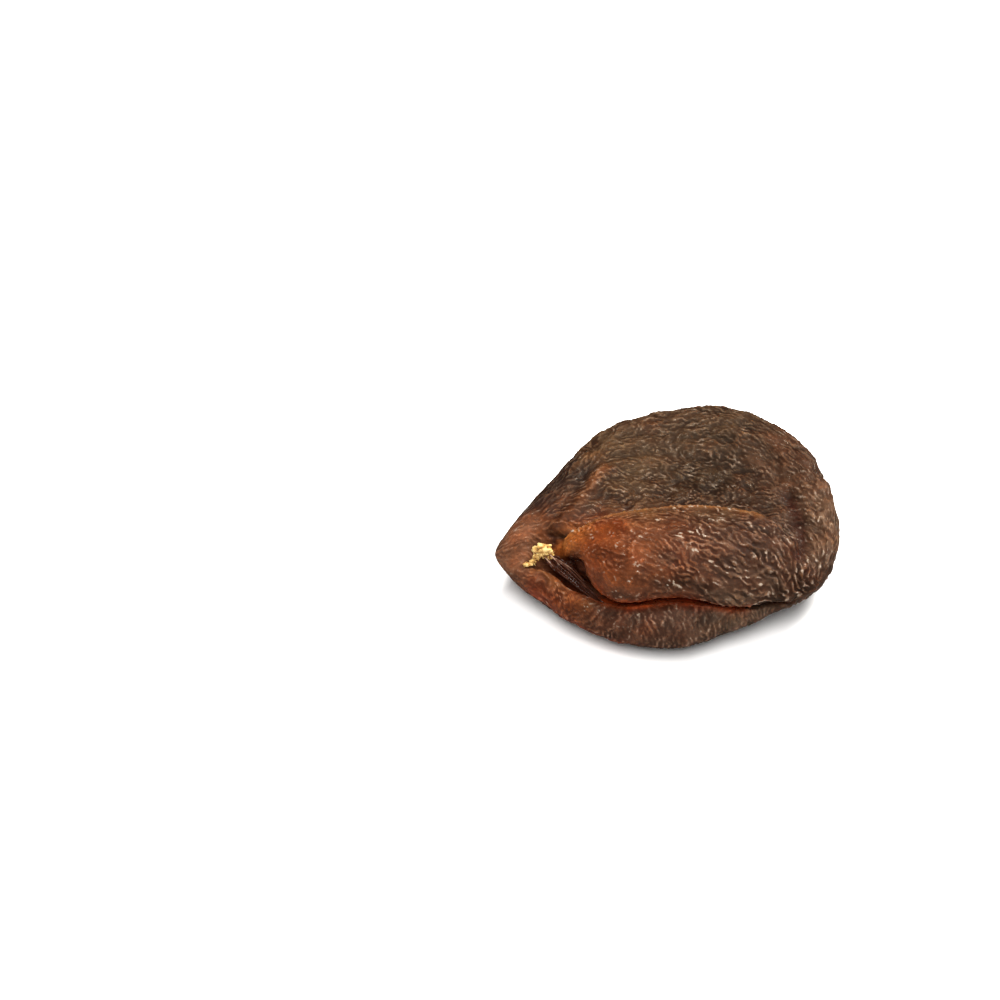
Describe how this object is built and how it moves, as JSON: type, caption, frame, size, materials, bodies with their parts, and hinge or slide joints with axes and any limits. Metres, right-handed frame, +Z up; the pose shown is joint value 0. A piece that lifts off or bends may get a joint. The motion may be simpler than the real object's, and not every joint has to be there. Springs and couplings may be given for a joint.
{
  "type": "dried apricot",
  "caption": "Whole dried apricot, flattened and wrinkled, pointed at the stem end, with a puffed fold over a narrow side slit and a crumb of dry stem fibre.",
  "frame": {"origin": "centre of the small flat spot that the fruit rests on", "axes": "+X from the pointed stem end to the blunt blossom end, -Y on the side of the open slit, +Z up"},
  "size_m": [0.0426, 0.0383, 0.0135],
  "materials": {
    "flesh": "wrinkled, half glossy, amber brown to olive brown",
    "stem_fibre": "matt, crumbly, straw yellow"
  },
  "bodies": {
    "root": {"fruit": "flesh", "stem_tuft": "stem_fibre"}
  },
  "joints": []
}
